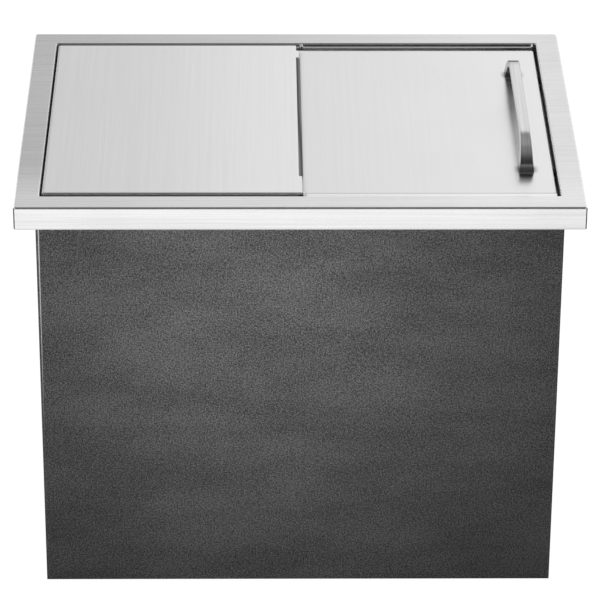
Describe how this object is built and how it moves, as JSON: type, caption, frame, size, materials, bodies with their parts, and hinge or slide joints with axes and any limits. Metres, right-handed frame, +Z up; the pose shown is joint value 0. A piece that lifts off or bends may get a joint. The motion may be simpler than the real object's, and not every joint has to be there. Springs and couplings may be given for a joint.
{
  "type": "drop-in ice bin",
  "caption": "Insulated stainless ice bin that drops into a counter cut-out and hangs by its rim, with a sliding cover, a lift-off cover and a drain.",
  "frame": {"origin": "centre of the flat underside", "axes": "+Z up, front faces -Y, +X to the right seen from the front, along the sliding cover's travel"},
  "size_m": [0.56, 0.412, 0.4672],
  "materials": {
    "brushed_stainless": "satin",
    "satin_stainless": "satin",
    "case_sheet": "satin",
    "black_grained_skin": "matte",
    "foam_board": "matte",
    "bright_steel": "polished",
    "black_rubber": "matte",
    "white_nylon": "matte"
  },
  "bodies": {
    "root": {"rim": "brushed_stainless", "basin": "satin_stainless", "guide_front_left": "brushed_stainless", "guide_rear_left": "brushed_stainless", "guide_front_right": "brushed_stainless", "guide_rear_right": "brushed_stainless", "centre_stop_front": "brushed_stainless", "centre_stop_rear": "brushed_stainless", "closing_bumpers": "black_rubber", "front_panel": "case_sheet", "rear_panel": "case_sheet", "left_panel": "case_sheet", "right_panel": "case_sheet", "base_panel": "case_sheet", "front_skin": "black_grained_skin", "rear_skin": "black_grained_skin", "left_skin": "black_grained_skin", "right_skin": "black_grained_skin", "insulation_front": "foam_board", "insulation_rear": "foam_board", "insulation_left": "foam_board", "insulation_right": "foam_board", "insulation_bottom": "foam_board", "drain_body": "bright_steel", "drain_upper_gasket": "black_rubber", "drain_lower_gasket": "black_rubber", "drain_nut": "bright_steel"},
    "right_cover": {"right_cover": "brushed_stainless", "right_cover_glides": "white_nylon", "handle": "brushed_stainless", "handle_screws": "bright_steel", "handle_washers": "bright_steel"},
    "left_cover": {"left_cover": "brushed_stainless"},
    "drain_stopper": {"drain_stopper": "black_rubber", "stopper_ring": "bright_steel"}
  },
  "joints": [
    {"name": "right_cover_slide", "type": "slide", "parent": "root", "child": "right_cover", "axis": [-1, 0, 0], "range_m": [0, 0.213]},
    {"name": "left_cover_lift", "type": "slide", "parent": "root", "child": "left_cover", "axis": [0, 0, 1], "range_m": [0, 0.08]},
    {"name": "drain_stopper_lift", "type": "slide", "parent": "root", "child": "drain_stopper", "axis": [0, 0, 1], "range_m": [0, 0.06]}
  ]
}
